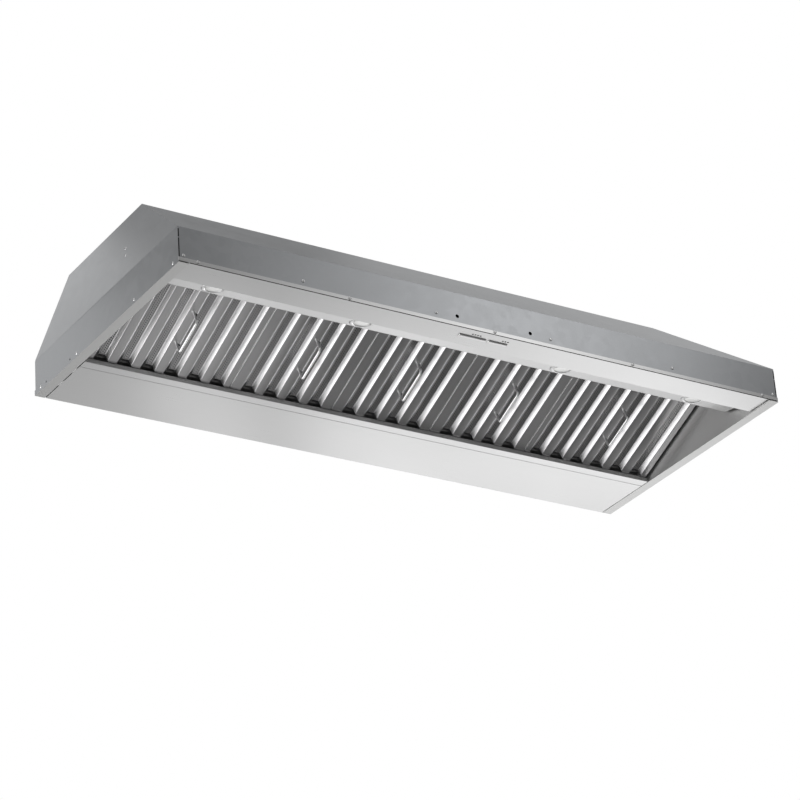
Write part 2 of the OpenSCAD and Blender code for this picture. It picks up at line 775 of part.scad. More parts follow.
// Scroll outline in the YZ plane about the wheel's axis, o outside the air space
function scroll_r(s) = scroll_min + (scroll_max - scroll_min) * s / scroll_sweep;
function scroll_line(o) = concat(
    [for (s = [0 : scroll_sweep / scroll_steps : scroll_sweep])
        let(r = scroll_r(s) + o, a = cutoff_angle + s) [r * cos(a), r * sin(a)]],
    [[scroll_max + o, box_z - wheel_z], [throat_in - o, box_z - wheel_z]]);

module blower_housing() color("darkgray") home() {
    difference() {
        translate([0, wheel_y, wheel_z]) along_x(2 * scroll_half) polygon(scroll_line(scroll_t));
        translate([0, wheel_y, wheel_z]) along_x(2 * (scroll_half - scroll_t)) polygon(scroll_line(0));
        translate([0, wheel_y, wheel_z]) bar_x(inlet_r, 2 * scroll_half + over);
    }
    translate([-box_half, collar_y - box_half, box_z]) difference() {
        cube([2 * box_half, 2 * box_half, roof_z - seam - box_z]);
        translate([box_wall, box_wall, box_wall])
            cube([2 * (box_half - box_wall), 2 * (box_half - box_wall), roof_z - box_z]);
        translate([box_half - scroll_half + scroll_t, wheel_y + throat_in - collar_y + box_half, -over])
            cube([2 * (scroll_half - scroll_t), scroll_max - throat_in, box_wall + 2 * over]);
    }
}

module at_axle() {
    home() translate([0, wheel_y, wheel_z]) children();
}

module blower_motor() color("dimgray") at_axle() difference() {
    translate([(motor_end - scroll_half) / 2, 0, 0]) bar_x(motor_r, motor_end + scroll_half);
    bar_x(shaft_r + pin_play, 2 * (seam - shaft_from));
}

module motor_bracket() color("silver") at_axle()
    translate([-scroll_half - bracket_t - seam, 0, 0]) rotate([90, 0, 90]) linear_extrude(bracket_t)
        intersection() {
            circle(r = bracket_r, $fn = round_fn);
            union() {
                circle(r = motor_r, $fn = round_fn);
                for (a = [90, 210, 330]) rotate(a) translate([0, -arm_w / 2]) square([bracket_r, arm_w]);
            }
        }

module motor_shaft() color("silver") at_axle()
    translate([(shaft_from + shaft_to) / 2, 0, 0]) bar_x(shaft_r, shaft_to - shaft_from);

// One blade: a thin curved strip from the inner to the outer radius
module blade() {
    inner = wheel_r - blade_depth;
    polygon([[inner, 0], [inner + blade_depth / 2, blade_lean / 2], [wheel_r - blade_t, blade_lean],
        [wheel_r - blade_t, blade_lean + blade_t], [inner + blade_depth / 2, blade_lean / 2 + blade_t],
        [inner, blade_t]]);
}

module blower_wheel() color("gray") at_axle() difference() {
    union() {
        translate([disc_x + disc_t / 2, 0, 0]) bar_x(wheel_r, disc_t);
        translate([disc_x + disc_t / 2, 0, 0]) bar_x(hub_r, hub_l);
        for (side = [-1, 1]) translate([side * (wheel_l - ring_t) / 2, 0, 0]) difference() {
            bar_x(wheel_r, ring_t);
            bar_x(wheel_r - blade_depth, 2 * ring_t);
        }
        along_x(wheel_l - ring_t)
            for (k = [0 : blade_count - 1]) rotate(k * 360 / blade_count) blade();
    }
    bar_x(shaft_r + pin_play / 2, wheel_l);
}

module duct_collar() color("darkgray") home() translate([0, collar_y, top_z + seam]) {
    difference() {
        cylinder(r = collar_r, h = collar_h - seam, $fn = round_fn);
        translate([0, 0, -over]) cylinder(r = collar_in, h = collar_h + 2 * over, $fn = round_fn);
        translate([0, 0, rod_up - seam]) bar_x(rod_r + pin_play, 2 * collar_r + over);
    }
    difference() {
        cylinder(r = collar_r + flange_w, h = collar_t, $fn = round_fn);
        translate([0, 0, -over]) cylinder(r = collar_in, h = collar_t + 2 * over, $fn = round_fn);
    }
    for (side = [-1, 1]) intersection() {
        difference() {
            cylinder(r = collar_r, h = rod_up + collar_t, $fn = round_fn);
            translate([0, 0, -over])
                cylinder(r = collar_in - 4 * stop_t, h = rod_up + 2 * over, $fn = round_fn);
        }
        translate([-stop_w / 2, side > 0 ? 0 : -collar_r, rod_up - seam - flap_t / 2 - filter_clear - stop_t])
            cube([stop_w, collar_r, stop_t]);
    }
}

module damper_rod() color("silver") home() translate([0, collar_y, rod_z])
    bar_x(rod_r, 2 * collar_r);

// Half disc with two knuckles on the rod, at the given distance to each side
module flap(out) {
    difference() {
        union() {
            translate([0, 0, -flap_t / 2]) difference() {
                cylinder(r = collar_in - flap_gap, h = flap_t, $fn = round_fn);
                translate([-collar_r, -knuckle_r - filter_clear, -over])
                    cube([2 * collar_r, 2 * collar_r, flap_t + 2 * over]);
            }
            for (x = [-out, out]) {
                translate([x, 0, 0]) bar_x(knuckle_r, knuckle_l);
                translate([x - knuckle_l / 2, -knuckle_r - 2 * filter_clear, -flap_t / 2])
                    cube([knuckle_l, knuckle_r, flap_t]);
            }
        }
        bar_x(rod_r + pin_play, 2 * collar_r);
    }
}

module front_flap() color("silver") home() translate([0, collar_y, rod_z]) flap(front_knuckle_x);

module rear_flap() color("silver") home() translate([0, collar_y, rod_z])
    rotate([0, 0, 180]) flap(rear_knuckle_x);

// Fasteners: pan heads against the sheet, shanks in their holes
module screw() {
    rotate([90, 0, 0]) {
        cylinder(r1 = head_r, r2 = head_r - head_h / 2, h = head_h, $fn = round_fn);
        translate([0, 0, -shank_l]) cylinder(r = screw_r, h = shank_l, $fn = round_fn);
    }
}

module rivet() {
    rotate([0, 90, 0]) {
        cylinder(r1 = rivet_head_r, r2 = rivet_r, h = rivet_head_h, $fn = round_fn);
        translate([0, 0, -shank_l]) cylinder(r = rivet_r, h = shank_l, $fn = round_fn);
    }
}

module rim_screws() color("silver") home()
    for (x = rim_screw_xs) translate([x, 0, rim_screw_z]) screw();

module wall_screws() color("silver") home() {
    for (x = wall_screw_xs) translate([x, wall_in, wall_screw_z]) screw();
    mirror_x() translate([corner_screw_x, wall_in, corner_screw_z]) screw();
}

module slope_rivets() color("silver") home() mirror_x() {
    for (p = slope_rivet_yz) on_slope(p[0], p[1]) rivet();
    for (y = side_screw_ys) translate([half_w, y, rim_screw_z]) rivet();
}

front_shell();
left_cap();
right_cap();
back_panel();
top_panel();
front_trim();
left_rail();
right_rail();
control_strip();
lamp_strip();
filter_channel();
grease_gutter();
filter_ledge();
rear_panel();
color("lightgray") at_filter(1) filter_baffles(1);  // filter_1_baffles
color("dimgray") at_filter(1) filter_mesh(1);  // filter_1_mesh
color("silver") at_filter(1) filter_frame(1);  // filter_1_frame
color("white") at_filter(1) filter_handle(1);  // filter_1_handle
color("lightgray") at_filter(2) filter_baffles(2);  // filter_2_baffles
color("dimgray") at_filter(2) filter_mesh(2);  // filter_2_mesh
color("silver") at_filter(2) filter_frame(2);  // filter_2_frame
color("white") at_filter(2) filter_handle(2);  // filter_2_handle
color("lightgray") at_filter(3) filter_baffles(3);  // filter_3_baffles
color("dimgray") at_filter(3) filter_mesh(3);  // filter_3_mesh
color("silver") at_filter(3) filter_frame(3);  // filter_3_frame
color("white") at_filter(3) filter_handle(3);  // filter_3_handle
color("lightgray") at_filter(4) filter_baffles(4);  // filter_4_baffles
color("dimgray") at_filter(4) filter_mesh(4);  // filter_4_mesh
color("silver") at_filter(4) filter_frame(4);  // filter_4_frame
color("white") at_filter(4) filter_handle(4);  // filter_4_handle
color("lightgray") at_filter(5) filter_baffles(5);  // filter_5_baffles
color("dimgray") at_filter(5) filter_mesh(5);  // filter_5_mesh
color("silver") at_filter(5) filter_frame(5);  // filter_5_frame
color("white") at_filter(5) filter_handle(5);  // filter_5_handle
fan_bar();
lamp_bar();
bar_carrier();
control_board();
fan_lights();
lamp_lights();
lamp_trims();
lamp_lenses();
lamp_cans();
lamp_driver();
junction_box();
junction_cover();
blower_housing();
blower_motor();
motor_bracket();
motor_shaft();
blower_wheel();
duct_collar();
damper_rod();
front_flap();
rear_flap();
rim_screws();
wall_screws();
slope_rivets();
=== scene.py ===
import math

import bmesh
import bpy
from mathutils import Matrix, Vector


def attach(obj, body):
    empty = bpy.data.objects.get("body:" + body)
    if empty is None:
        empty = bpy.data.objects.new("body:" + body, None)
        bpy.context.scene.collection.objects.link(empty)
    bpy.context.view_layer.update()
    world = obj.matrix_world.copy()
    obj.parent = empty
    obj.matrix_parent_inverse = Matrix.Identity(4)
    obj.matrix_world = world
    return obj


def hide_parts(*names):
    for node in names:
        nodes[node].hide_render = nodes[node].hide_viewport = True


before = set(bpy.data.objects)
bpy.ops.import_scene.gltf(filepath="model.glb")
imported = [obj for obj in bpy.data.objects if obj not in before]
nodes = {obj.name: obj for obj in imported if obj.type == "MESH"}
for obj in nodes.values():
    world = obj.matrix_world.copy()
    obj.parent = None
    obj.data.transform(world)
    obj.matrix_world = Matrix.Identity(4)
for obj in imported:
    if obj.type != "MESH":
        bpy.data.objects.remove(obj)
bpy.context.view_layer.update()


# The shell is folded from galvanised sheet: front with its slope, two side caps, back and
# top. The sheets meet at narrow seams and are screwed and riveted together. The zinc shows
# large faint crystals and a cold grey.
class Value:
    """A number, colour or direction on its way through a material's nodes."""

    def __init__(self, tree, socket):
        self.tree, self.socket = tree, socket

    def node(self, kind, settings, sockets, out=0):
        """Adds a node: its settings first, then the values or links of its sockets."""
        new = self.tree.nodes.new(kind)
        for name, value in settings.items():
            if name == "stops":
                ramp = new.color_ramp.elements
                while len(ramp) < len(value):
                    ramp.new(1)
                for stop, (place, shade) in zip(ramp, value):
                    stop.position, stop.color = place, (shade, shade, shade, 1)
            else:
                setattr(new, name, value)
        for name, value in sockets.items():
            if isinstance(value, Value):
                self.tree.links.new(value.socket, new.inputs[name])
            else:
                new.inputs[name].default_value = value
        return Value(self.tree, new.outputs[out])

    def maths(self, operation, *values):
        return self.node("ShaderNodeMath", {"operation": operation}, dict(enumerate(values)))

    def __add__(self, other):
        return self.maths("ADD", self, other)

    def __sub__(self, other):
        return self.maths("SUBTRACT", self, other)

    def __rsub__(self, other):
        return self.maths("SUBTRACT", other, self)

    def __mul__(self, other):
        return self.maths("MULTIPLY", self, other)

    __radd__, __rmul__ = __add__, __mul__

    def tones(self, dark, light):
        """A colour between two, where this number goes from 0 to 1."""
        return self.node("ShaderNodeMix", {"data_type": "RGBA"},
                         {0: self, 6: (*dark, 1), 7: (*light, 1)}, out=2)

    def noise(self, scale, detail=2, out=0):
        return self.node("ShaderNodeTexNoise", {},
                         {"Vector": self, "Scale": scale, "Detail": detail}, out)

    def turned(self, angles, stretch):
        return self.node("ShaderNodeMapping", {},
                         {"Vector": self, "Rotation": angles, "Scale": stretch})

    def bump(self, strength, depth):
        return self.node("ShaderNodeBump", {},
                         {"Strength": strength, "Distance": depth, "Height": self})

    def to(self, shader, socket):
        self.tree.links.new(self.socket, shader.inputs[socket])


def new_finish(name, **flat):
    """A new material, its shader with the flat values set, and its place on the object."""
    finish = bpy.data.materials.new(name)
    finish.use_nodes = True
    tree = finish.node_tree
    shader = tree.nodes["Principled BSDF"]
    for socket, value in flat.items():
        shader.inputs[socket.replace("_", " ")].default_value = value
    return finish, shader, Value(tree, tree.nodes.new("ShaderNodeTexCoord").outputs["Object"])


def wear(finish, *names):
    """Gives CAD nodes a finish."""
    for name in names:
        nodes[name].data.materials.clear()
        nodes[name].data.materials.append(finish)


def zinc_sheet(name, dark, light, dull):
    finish, shader, place = new_finish(name, Metallic=1.0)
    crystal = place.node("ShaderNodeTexVoronoi", {}, {"Vector": place, "Scale": 62.0}, out=1)
    leaf = crystal.node("ShaderNodeSeparateColor", {}, {0: crystal})
    cloud = place.noise(7.0, 3)
    tone = leaf * 0.35 + cloud * 0.65
    tone.tones(dark, light).to(shader, "Base Color")
    (leaf * 0.05 + cloud * 0.08 + (dull - 0.065)).to(shader, "Roughness")
    (leaf * 0.5 + place.noise(900.0) * 0.3).bump(0.05, 0.0002).to(shader, "Normal")
    return finish


mm = 0.001
front_y = -316.5                             # where the front wall's outer face lies
half_width, band_height, sheet = 740, 82, 1.2


def only(piece):
    """Selects one piece alone and makes it the active one."""
    bpy.ops.object.select_all(action="DESELECT")
    piece.select_set(True)
    bpy.context.view_layer.objects.active = piece


def pick_edges(piece, wanted):
    """Selects, in edit mode, the edges whose two ends the test accepts."""
    bpy.ops.mesh.select_mode(type="EDGE")
    bpy.ops.mesh.select_all(action="DESELECT")
    shape = bmesh.from_edit_mesh(piece.data)
    for edge in shape.edges:
        edge.select_set(wanted(*(corner.co / mm for corner in edge.verts)))
    bmesh.update_edit_mesh(piece.data)


def twin(piece, name):
    """A new piece with a mesh of its own, the same as another's."""
    new = bpy.data.objects.new(name, piece.data.copy())
    bpy.context.collection.objects.link(new)
    return new


def apply_modifier(piece, kind, **settings):
    """Adds a modifier with its settings and applies it."""
    only(piece)
    modifier = piece.modifiers.new(kind.lower(), kind)
    for name, value in settings.items():
        setattr(modifier, name, value)
    bpy.ops.object.modifier_apply(modifier=modifier.name)


def cut(piece, cutter):
    """Cuts the cutter's shape out of a piece and throws the cutter away."""
    apply_modifier(piece, "BOOLEAN", operation="DIFFERENCE", solver="EXACT", object=cutter)
    bpy.data.objects.remove(cutter)


def smooth(piece, angle=35):
    """Shades the bends smooth and keeps the flats flat."""
    only(piece)
    bpy.ops.object.shade_smooth_by_angle(angle=math.radians(angle))
    apply_modifier(piece, "WEIGHTED_NORMAL", keep_sharp=True)


def dress(piece, body, slot, *finishes):
    """Gives a piece its finishes and its body."""
    piece.data.materials.clear()
    for finish in finishes:
        piece.data.materials.append(finish)
    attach(piece, body)


def eased_sheet(node, slot, finish, radius, *folds, body="hood"):
    """Stands for a CAD sheet with a merged copy whose folds are rounded. A fold is given by
    its distance from the middle, from the front and above the rim, with None along it."""
    piece = twin(nodes[node], node + "_sheet")
    only(piece)
    bpy.ops.object.mode_set(mode="EDIT")
    bpy.ops.mesh.select_all(action="SELECT")
    bpy.ops.mesh.remove_doubles(threshold=0.01 * mm)
    bpy.ops.mesh.dissolve_limited(angle_limit=math.radians(1))

    def on_a_fold(*ends):
        return any(all(place is None or abs(found - place) < 0.06
                       for end in ends
                       for found, place in zip((abs(end.x), end.y - front_y, end.z), fold))
                   for fold in folds)

    pick_edges(piece, on_a_fold)
    bpy.ops.mesh.bevel(offset=radius * mm, segments=3, affect="EDGES")
    bpy.ops.object.mode_set(mode="OBJECT")
    smooth(piece)
    dress(piece, body, slot, finish)
    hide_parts(node)
    return piece


galvanised = zinc_sheet("galvanised", (0.395, 0.405, 0.418), (0.465, 0.475, 0.488), 0.34)
wear(galvanised, "back_panel", "top_panel")
front = eased_sheet("front_shell", "galvanised_sheet", galvanised, 3, (None, sheet, 81.41))
wall_hole_x, wall_hole_z, wall_hole_radius = 90.5, 26.3, 4.2
for x in (-wall_hole_x, wall_hole_x):
    bpy.ops.object.select_all(action="DESELECT")
    bpy.ops.mesh.primitive_cylinder_add(
        vertices=24, radius=wall_hole_radius * mm, depth=9 * mm, rotation=(math.radians(90), 0, 0),
        location=(x * mm, (front_y + 2) * mm, wall_hole_z * mm))
    cut(front, bpy.context.object)
smooth(front)
for cap in ("left_cap", "right_cap"):
    eased_sheet(cap, "galvanised_sheet", galvanised, 3, (738.8, None, 81.78))


# Black strips fill each front corner seam of the shell, broken once by a tab, and the gap under
# the front band: painted shade, dark pieces put where the seams hold only shade.
def moulded(name, tone, dull, grain=1500.0, **flat):
    """Moulded plastic: one colour with a fine grain."""
    finish, shader, place = new_finish(name, **flat)
    grain_at = place.noise(grain, 3)
    cloud = place.noise(12.0)
    dark = [c * 0.88 for c in tone]
    light = [min(c * 1.1, 1) for c in tone]
    (grain_at * 0.4 + cloud * 0.6).tones(dark, light).to(shader, "Base Color")
    (grain_at * 0.12 + (dull - 0.06)).to(shader, "Roughness")
    grain_at.bump(0.2, 0.00008).to(shader, "Normal")
    return finish


def shade_strips(name, *runs):
    """Strips of painted seam shade, each given by its two corners, with their edges rounded."""
    bpy.ops.object.select_all(action="DESELECT")
    for number, (low, high) in enumerate(runs):
        bpy.ops.mesh.primitive_cube_add(
            size=mm, location=[(a + b) / 2 * mm for a, b in zip(low, high)],
            scale=[b - a for a, b in zip(low, high)])
        if number == 0:
            piece = bpy.context.object
            bpy.ops.object.transform_apply(location=True, rotation=True, scale=True)
            bpy.ops.object.mode_set(mode="EDIT")
    bpy.ops.mesh.select_all(action="SELECT")
    bpy.ops.mesh.bevel(offset=0.15 * mm, segments=2, affect="EDGES")
    bpy.ops.object.mode_set(mode="OBJECT")
    piece.name = name
    smooth(piece, 60)
    dress(piece, "hood", "black_plastic", seam_shade_finish)


# The strips' near-black finish is painted shade: it stands for the shade in the seam gaps.
seam_shade_finish = moulded("painted_seam_shade", (0.012, 0.012, 0.013), 0.6)
for name, side in (("left_seam_shade", -1), ("right_seam_shade", 1)):
    runs = []
    for near, far, low, high in ((736.2, 738.9, (0.9, 12.2), (1.5, 55)),
                                 (736.2, 738.9, (0.9, 57.5), (1.5, 76))):
        near, far = sorted((side * near, side * far))
        runs.append(((near, front_y + low[0], low[1]), (far, front_y + high[0], high[1])))
    shade_strips(name, *runs)
shade_strips("front_seam_shade", ((-714, front_y + 0.05, 2.4), (714, front_y + 1.4, 3.6)))


# The bright rim is stainless steel, brushed along each strip: a front trim and two side
# rails with tongues that carry the panels. The rails are a little duller.
def brushed_steel(name, tone, spread, dull, stretch, turn=(0, 0, 0), depth=0.00004):
    """Brushed sheet: fine streaks along X, or along X after a turn."""
    finish, shader, place = new_finish(name, Metallic=1.0)
    along = place.turned(turn, stretch)
    streak = along.noise(1.0, 4)
    cloud = place.noise(5.0, 2)
    shade = streak * 0.7 + cloud * 0.3
    dark = [c * (1 - spread) for c in tone]
    light = [min(c * (1 + spread), 1) for c in tone]
    shade.tones(dark, light).to(shader, "Base Color")
    (streak * 0.10 + cloud * 0.06 + (dull - 0.08)).to(shader, "Roughness")
    streak.bump(0.25, depth).to(shader, "Normal")
    return finish


along_x = (6, 1400, 1400)
along_y = (1400, 6, 1400)
strip_steel = brushed_steel("brushed_strip", (0.66, 0.66, 0.66), 0.06, 0.30, along_x)
rail_steel = brushed_steel("brushed_rail", (0.66, 0.66, 0.655), 0.06, 0.42, along_y)
eased_sheet("front_trim", "stainless_sheet", strip_steel, 0.5,
            (None, 0, 3.5), (None, 0, 12), (half_width, 0, None))
for rail in ("left_rail", "right_rail"):
    rim = eased_sheet(rail, "stainless_sheet", rail_steel, 0.3, (717, None, 0))
    rim.data.materials.append(galvanised)
    for face in rim.data.polygons:
        if abs(face.normal.x) > 0.9 and abs(face.center.x) > (half_width - 0.5) * mm:
            face.material_index = 1


# The control strip is a shallow folded tray with cut-outs for two rocker bars and seven
# light pipes. Behind it a black carrier holds the bars' pivots and the board.
strip_z = 4
bar_front, bar_rear, bar_face = 28, 37, 1.6
eased_sheet("control_strip", "stainless_sheet", strip_steel, 1,
            (None, 3, strip_z), (None, 70, strip_z))
bar_steel = brushed_steel("brushed_bar", (0.78, 0.78, 0.78), 0.05, 0.34, along_x)
black_plastic = moulded("black_plastic", (0.02, 0.02, 0.022), 0.5)
for bar, body, inner, outer in (("fan_bar", "fan_control", 3, 69),
                                ("lamp_bar", "lamp_control", 3, 49)):
    eased_sheet(bar, "bright_wire", bar_steel, 2,
                (None, bar_front, bar_face), (None, bar_rear, bar_face),
                (inner, None, bar_face), (outer, None, bar_face),
                (inner, bar_front, None), (inner, bar_rear, None),
                (outer, bar_front, None), (outer, bar_rear, None), body=body)
clear_plastic = moulded("clear_plastic", (0.015, 0.015, 0.017), 0.7, Specular_IOR_Level=0.2)
green_board = moulded("green_board", (0.03, 0.16, 0.06), 0.4, 300.0)
wear(black_plastic, "bar_carrier", "lamp_driver")
wear(green_board, "control_board")


# Seven light pipes end as small dark buttons before the bars. The lamp strip carries four
# recessed lamps: a bright ring, a frosted lens and a cast can behind the sheet.
def turned(profile, corners=48):
    """Turns a solid about Z along its profile of radii and heights in millimetres."""
    radius, height = profile[0]
    bpy.ops.object.select_all(action="DESELECT")
    bpy.ops.mesh.primitive_circle_add(vertices=corners, radius=radius * mm, fill_type="NGON",
                                      location=(0, 0, height * mm))
    piece = bpy.context.object
    bpy.ops.object.transform_apply(location=True, rotation=True, scale=True)
    bpy.ops.object.mode_set(mode="EDIT")
    bpy.ops.mesh.select_all(action="SELECT")
    for next_radius, next_height in profile[1:]:
        bpy.ops.mesh.extrude_region_move(
            TRANSFORM_OT_translate={"value": (0, 0, (next_height - height) * mm)})
        bpy.ops.transform.resize(value=(next_radius / radius, next_radius / radius, 1),
                                 center_override=(0, 0, 0))
        radius, height = next_radius, next_height
    bpy.ops.mesh.select_all(action="SELECT")
    bpy.ops.mesh.normals_make_consistent(inside=False)
    bpy.ops.object.mode_set(mode="OBJECT")
    return piece


def settle_all(master, name, body, slot, finish, replaced, places):
    """Copies a finished shape to all its places as one piece that stands for a node."""
    bpy.ops.object.select_all(action="DESELECT")
    for place in places:
        piece = twin(master, name)
        piece.data.transform(place)
        piece.select_set(True)
    bpy.context.view_layer.objects.active = piece
    bpy.ops.object.join()
    piece.name = name
    bpy.data.objects.remove(master)
    smooth(piece)
    dress(piece, body, slot, finish)
    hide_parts(replaced)


pipe_pitch, pipe_y = 6.3, 19.8
pipe = turned([(1.3, 11), (1.3, 0.02), (1.9, 0.02), (1.9, -0.25), (1.7, -0.35)], 24)
for lights, middle, count in (("fan_lights", -32.5, 4), ("lamp_lights", 38.4, 3)):
    settle_all(twin(pipe, lights), lights + "_pipes", "hood", "clear_plastic", clear_plastic,
               lights, [Matrix.Translation(((middle + (step - (count - 1) / 2) * pipe_pitch) * mm,
                                            (front_y + pipe_y) * mm, strip_z * mm))
                        for step in range(count)])
bpy.data.objects.remove(pipe)
lamp_fold_y, lamp_fold_z, lamp_lean = 145, 36.5, math.radians(9.5)
eased_sheet("lamp_strip", "stainless_sheet", strip_steel, 1, (None, lamp_fold_y, lamp_fold_z))
ring_metal = brushed_steel("lamp_ring", (0.74, 0.74, 0.74), 0.03, 0.36, (300, 300, 300))
lens_glass = moulded("lens_glass", (0.90, 0.90, 0.89), 0.3, 800.0, Metallic=0.7)
cast_aluminium = moulded("cast_aluminium", (0.50, 0.51, 0.52), 0.5, 1200.0, Metallic=0.9)
lamp_places = [Matrix.Translation((x * mm, (front_y + lamp_fold_y) * mm, lamp_fold_z * mm))
               @ Matrix.Rotation(lamp_lean, 4, "X")
               @ Matrix.Translation((0, -29 * mm, 0)) for x in (-597, -250, 250, 597)]
settle_all(turned([(21.8, 1.2), (21.8, -0.02), (26, -0.02), (25.8, -0.9), (25, -1.6), (23.6, -2),
                   (21, -1.9), (19.4, -1.4), (18.7, -0.6), (18.6, 0.9)]),
           "lamp_rings", "hood", "bright_wire", ring_metal, "lamp_trims", lamp_places)
settle_all(turned([(17.2, 0.8), (17.2, -0.8), (16.6, -1.3), (14, -1.65), (9, -1.85), (4, -1.95)]),
           "lamp_lens_domes", "hood", "lens_glass", lens_glass, "lamp_lenses", lamp_places)
wear(cast_aluminium, "lamp_cans")


# Five baffle filters lie in a tilted row, the outer two wider. Each sheet is folded from
# stainless steel and brushed along its channels, air passes through three rows of holes in
# every channel, and a small lip is turned down at the lower end of each flat.
filter_tilt = math.radians(-23)
filter_place = (Matrix.Translation((0, (front_y + 450) * mm, 12.5 * mm))
                @ Matrix.Rotation(filter_tilt, 4, "X"))
filter_middles = (-543.5, -250, 0, 250, 543.5)
filter_length = 269
channel_pitch, channel_mouth, channel_depth = 54.5, 33, 10.5
left_lean, right_lean = 11, 6.5
sheet_thickness, lip_drop = 0.8, 2.4
hole_radius, hole_pitch, holes_in_row, row_gap = 1.6, 5.6, 45, 4.7
handle_middle, handle_span = 126, 85


def fold_sheet(width, channels):
    """Folds one baffle sheet, in the filter's own frame: X across, -Y up the slope, Z in."""
    ceiling = channel_mouth - left_lean - right_lean
    land = channel_pitch - channel_mouth
    first = (width - (channels - 1) * channel_pitch - channel_mouth) / 2
    bpy.ops.object.select_all(action="DESELECT")
    bpy.ops.mesh.primitive_plane_add(
        size=1,
        location=((first - width) / 2 * mm, (channel_depth - filter_length) / 2 * mm, 0))
    sheet = bpy.context.object
    sheet.scale = (first * mm, (filter_length + channel_depth) * mm, 1)
    bpy.ops.object.transform_apply(location=True, rotation=True, scale=True)
    bpy.ops.object.mode_set(mode="EDIT")
    edge_x = first - width / 2
    pick_edges(sheet, lambda a, b: abs(a.x - edge_x) < 0.01 and abs(b.x - edge_x) < 0.01)
    crown = [(land / 4, rise) for rise in (-0.28, -0.09, 0.09, 0.28)]
    folds = []
    for channel in range(channels):
        folds += [(left_lean, channel_depth), (ceiling, 0), (right_lean, -channel_depth)]
        folds += crown if channel < channels - 1 else [(first, 0)]
    for across, inward in folds:
        bpy.ops.mesh.extrude_region_move(
            TRANSFORM_OT_translate={"value": (across * mm, 0, inward * mm)})
    pick_edges(sheet, lambda a, b: abs(a.x - b.x) < 0.01 and abs(a.z - b.z) < 0.01
               and abs(a.x) < width / 2 - 0.1 and (a.z > 5 or abs(a.z) < 0.05))
    bpy.ops.mesh.bevel(offset=0.9 * mm, segments=3, affect="EDGES")
    bpy.ops.mesh.select_all(action="SELECT")
    bpy.ops.mesh.bisect(plane_co=(0, 0, 0),
                        plane_no=(0, math.cos(filter_tilt), -math.sin(filter_tilt)),
                        clear_outer=True)
    pick_edges(sheet, lambda a, b: max(abs(a.z), abs(b.z), abs(a.y), abs(b.y)) < 0.6
               and abs(a.x - b.x) > 3.6)
    drop = lip_drop * mm
    bpy.ops.mesh.extrude_region_move(TRANSFORM_OT_translate={
        "value": (0, -drop * math.sin(filter_tilt), -drop * math.cos(filter_tilt))})
    bpy.ops.object.mode_set(mode="OBJECT")
    apply_modifier(sheet, "SOLIDIFY", thickness=sheet_thickness * mm, offset=1,
                   use_even_offset=True)
    bpy.ops.object.select_all(action="DESELECT")
    bpy.ops.mesh.primitive_cylinder_add(
        vertices=8, radius=hole_radius * mm, depth=3 * mm,
        location=(((left_lean - right_lean) / 2 - (channels - 1) * channel_pitch / 2) * mm,
                  -12.8 * mm, channel_depth * mm))
    holes = bpy.context.object
    bpy.ops.object.transform_apply(location=True, rotation=True, scale=True)
    bpy.ops.object.mode_set(mode="EDIT")
    for across, up_the_row in ((-row_gap, hole_pitch / 2), (2 * row_gap, 0)):
        bpy.ops.mesh.duplicate_move(
            TRANSFORM_OT_translate={"value": (across * mm, up_the_row * mm, 0)})
    bpy.ops.object.mode_set(mode="OBJECT")
    apply_modifier(holes, "ARRAY", count=holes_in_row, use_relative_offset=False,
                   use_constant_offset=True, constant_offset_displace=(0, -hole_pitch * mm, 0))
    apply_modifier(holes, "ARRAY", count=channels, use_relative_offset=False,
                   use_constant_offset=True, constant_offset_displace=(channel_pitch * mm, 0, 0))
    cut(sheet, holes)
    for side in (-1, 1):
        bpy.ops.object.select_all(action="DESELECT")
        bpy.ops.mesh.primitive_cylinder_add(
            vertices=3, radius=7 * mm, depth=8 * mm, rotation=(0, 0, math.radians(20)),
            location=((land / 2) * mm,
                      (-handle_middle + side * handle_span / 2 + 7.6) * mm, 0.4 * mm))
        cut(sheet, bpy.context.object)
    smooth(sheet)
    return sheet


def settle(master, name, place, body, slot, finish, *replaced):
    """Copies a finished shape to its place on the hood, with the place in the copy's mesh."""
    piece = twin(master, name)
    piece.data.transform(place)
    dress(piece, body, slot, finish)
    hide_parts(*replaced)


baffle_steel = brushed_steel("brushed_baffle", (0.66, 0.655, 0.66), 0.08, 0.32,
                             (1300, 8, 1300), (-filter_tilt, 0, 0), 0.00002)
frame_steel = brushed_steel("filter_frame", (0.66, 0.66, 0.66), 0.05, 0.34, along_x)
bright_wire = brushed_steel("bright_wire", (0.88, 0.88, 0.88), 0.03, 0.3, (200, 200, 200))
wide_sheet, narrow_sheet = fold_sheet(333.6, 6), fold_sheet(246.6, 4)
for number, middle in enumerate(filter_middles, 1):
    place = filter_place @ Matrix.Translation((middle * mm, 0, 0))
    settle(wide_sheet if number in (1, 5) else narrow_sheet, "filter_%d_sheet" % number, place,
           "filter_%d" % number, "stainless_sheet", baffle_steel, "filter_%d_baffles" % number)
    half = 168 if number in (1, 5) else 124.5
    eased_sheet("filter_%d_frame" % number, "stainless_sheet", frame_steel, 0.7,
                (abs(abs(middle) - half), None, None), (abs(middle) + half, None, None),
                body="filter_%d" % number)
    wear(bright_wire, "filter_%d_handle" % number)


